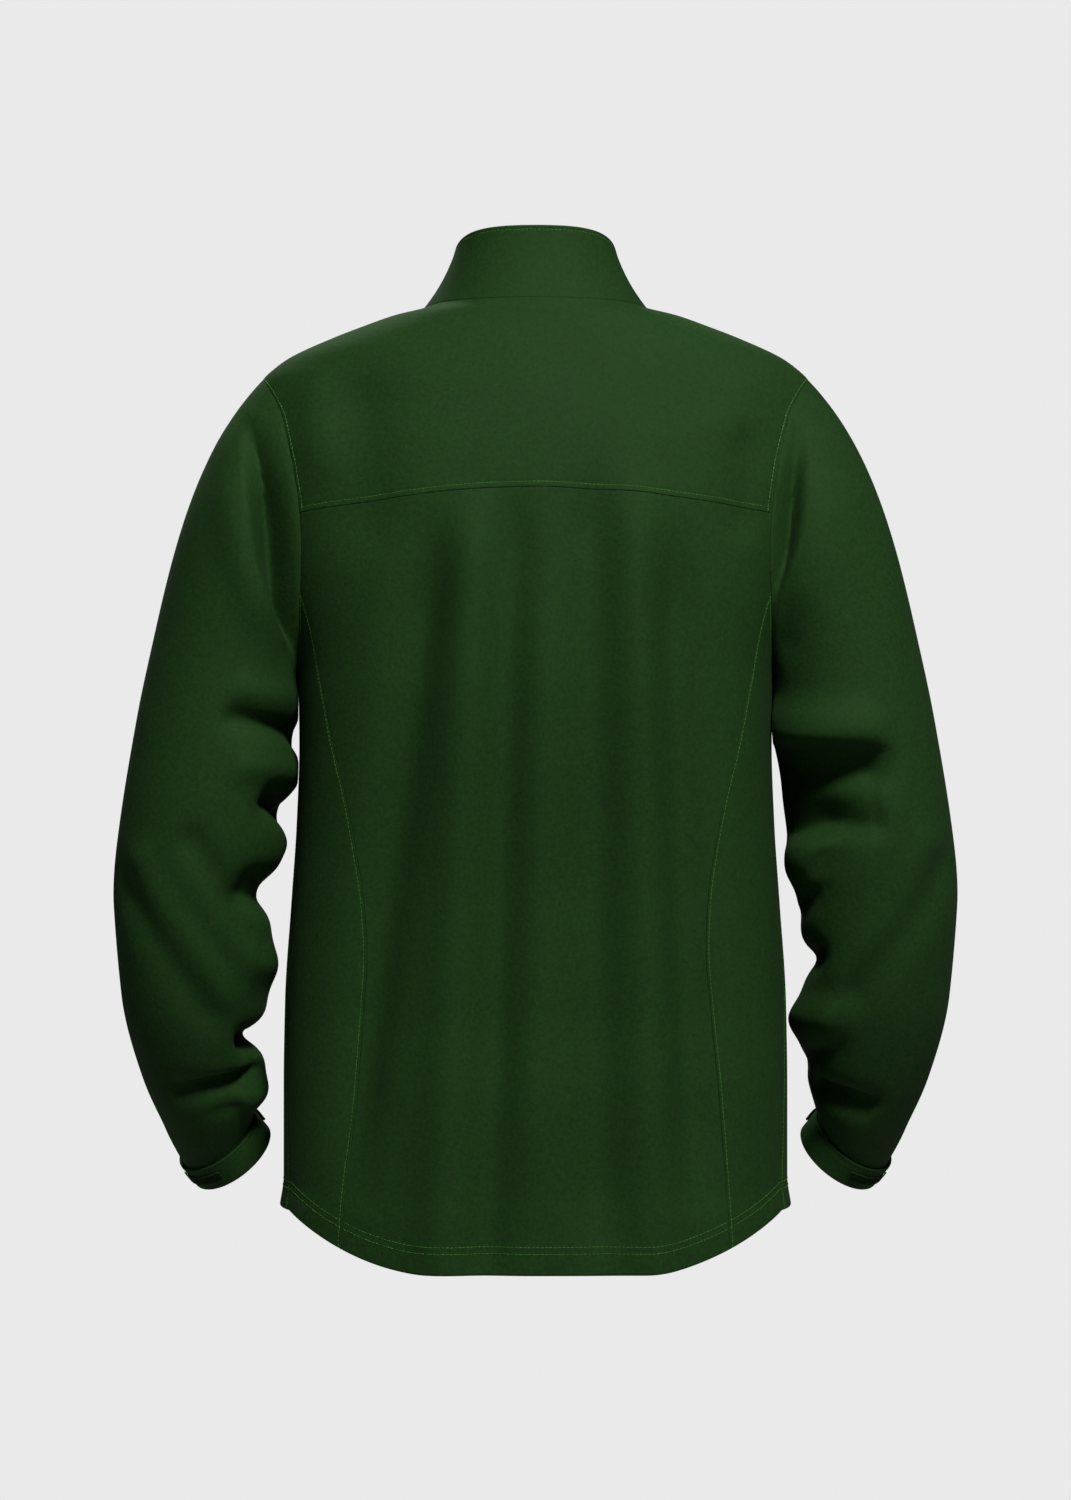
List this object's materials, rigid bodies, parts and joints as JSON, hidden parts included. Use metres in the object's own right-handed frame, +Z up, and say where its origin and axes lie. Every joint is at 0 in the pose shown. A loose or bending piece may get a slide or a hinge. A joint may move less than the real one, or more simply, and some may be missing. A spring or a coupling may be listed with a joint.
{
  "type": "softshell jacket",
  "caption": "Long-sleeved softshell jacket filled out as worn, zipped to the top of its stand collar, with a back yoke, shaped side panels and banded cuffs.",
  "frame": {"origin": "between the shoulders at the height where the collar meets them, on the middle plane of the neck opening", "axes": "+X towards the wearer's left, +Y towards the wearer's back, +Z up; the zip front faces -Y"},
  "size_m": [0.646, 0.27, 0.7842],
  "materials": {
    "softshell": "matte fine-grained bonded softshell, dark green",
    "loop_tape": "short looped pile, darker green",
    "zip_tape": "ribbed woven tape, dark green",
    "zip_teeth": "moulded teeth, dark green",
    "zip_metal": "satin paint, dark green"
  },
  "bodies": {
    "jacket": {"back_yoke": "softshell", "back_panel": "softshell", "back_side_left": "softshell", "back_side_right": "softshell", "front_left": "softshell", "front_right": "softshell", "collar": "softshell", "sleeve_left": "softshell", "sleeve_right": "softshell", "cuff_left": "softshell", "cuff_right": "softshell", "cuff_strap_left": "softshell", "cuff_strap_right": "softshell", "loop_patch_left": "loop_tape", "loop_patch_right": "loop_tape", "zip_tape_left": "zip_tape", "zip_tape_right": "zip_tape", "zip_chain": "zip_teeth", "zip_foot": "zip_teeth", "zip_slider": "zip_metal"},
    "zip_pull": {"zip_pull": "zip_metal"}
  },
  "joints": [
    {"name": "pull_hinge", "type": "hinge", "parent": "jacket", "child": "zip_pull", "pos_m": [0, -0.0773, -0.01787], "axis": [-1, 0, 0], "range_deg": [0, 150]}
  ]
}
